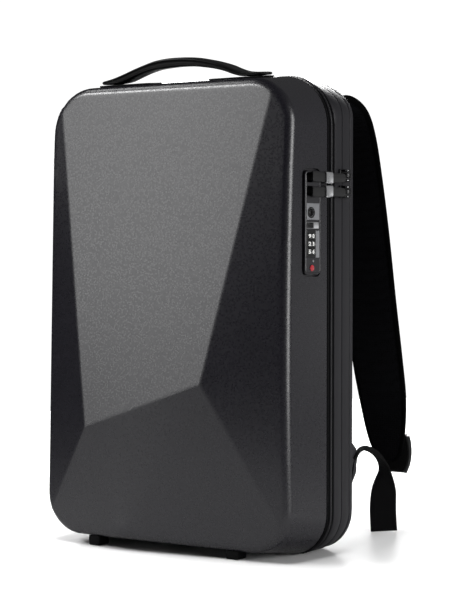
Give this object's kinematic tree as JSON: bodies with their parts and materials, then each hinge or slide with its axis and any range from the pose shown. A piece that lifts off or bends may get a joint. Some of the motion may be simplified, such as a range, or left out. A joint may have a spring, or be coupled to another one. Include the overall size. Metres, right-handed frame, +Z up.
{
  "type": "laptop backpack",
  "caption": "Hard-shell laptop backpack: faceted moulded front, zipped gusset with a side combination lock, top handle, padded back and shoulder straps.",
  "frame": {"origin": "middle of the gusset's flat base, on the floor that the bag stands on", "axes": "+Z up, -Y out of the faceted front, +X towards the side with the lock"},
  "size_m": [0.3197, 0.2754, 0.4942],
  "materials": {
    "moulded_shell": "moulded grained plastic shell, dark charcoal, satin",
    "welt": "extruded vinyl welt, charcoal, satin",
    "gusset_cloth": "coated woven polyester, charcoal",
    "zip_chain": "reverse coil zip on coated tape, black",
    "padded_mesh": "black spacer mesh and woven polyester over foam",
    "webbing": "black woven nylon webbing",
    "black_plastic": "black moulded acetal, satin",
    "handle_rubber": "black soft-touch moulded rubber",
    "rubber_foot": "black rubber",
    "lock_body": "grey ABS, fine spark-eroded texture",
    "satin_metal": "satin nickel-plated zinc",
    "zip_metal": "black painted zinc die casting",
    "red_plastic": "red gloss plastic"
  },
  "bodies": {
    "bag": {"front_shell": "moulded_shell", "welt": "welt", "gusset_front": "gusset_cloth", "gusset_rear": "gusset_cloth", "base_hinge_strip": "gusset_cloth", "zip_chain": "zip_chain", "back_panel": "padded_mesh", "foot_left": "rubber_foot", "foot_right": "rubber_foot", "handle_grip": "handle_rubber", "handle_base_left": "black_plastic", "handle_base_right": "black_plastic", "lock_case": "lock_body", "key_plate": "satin_metal", "slide_track": "satin_metal", "dial_plate": "satin_metal", "lock_index_dot": "satin_metal", "lock_red_dot": "red_plastic", "zip_pull_upper": "black_plastic", "zip_pull_upper_band": "satin_metal", "zip_pull_lower": "black_plastic", "zip_pull_lower_band": "satin_metal", "zip_slider_upper": "zip_metal", "zip_slider_lower": "zip_metal", "shoulder_strap_left": "padded_mesh", "strap_web_left": "webbing", "strap_buckle_left": "black_plastic", "wing_tab_left": "gusset_cloth", "shoulder_strap_right": "padded_mesh", "strap_web_right": "webbing", "strap_buckle_right": "black_plastic", "wing_tab_right": "gusset_cloth"},
    "dial_1": {"dial_1": "black_plastic"},
    "dial_2": {"dial_2": "black_plastic"},
    "dial_3": {"dial_3": "black_plastic"},
    "lock_slide": {"lock_slide": "black_plastic"},
    "key_cylinder": {"key_cylinder": "satin_metal"}
  },
  "joints": [
    {"name": "dial_1_turn", "type": "hinge", "parent": "bag", "child": "dial_1", "pos_m": [0.14738, -0.06155, 0.31295], "axis": [0, 0, 1], "continuous": true},
    {"name": "dial_2_turn", "type": "hinge", "parent": "bag", "child": "dial_2", "pos_m": [0.14738, -0.06155, 0.3055], "axis": [0, 0, 1], "continuous": true},
    {"name": "dial_3_turn", "type": "hinge", "parent": "bag", "child": "dial_3", "pos_m": [0.14738, -0.06155, 0.29805], "axis": [0, 0, 1], "continuous": true},
    {"name": "lock_slide_push", "type": "slide", "parent": "bag", "child": "lock_slide", "axis": [0.1414, 0.9899, 0], "range_m": [0, 0.008], "stiffness_N_per_m": 60},
    {"name": "key_turn", "type": "hinge", "parent": "bag", "child": "key_cylinder", "pos_m": [0.14886, -0.06246, 0.3356], "axis": [0.9899, -0.1414, 0], "range_deg": [0, 90]}
  ]
}
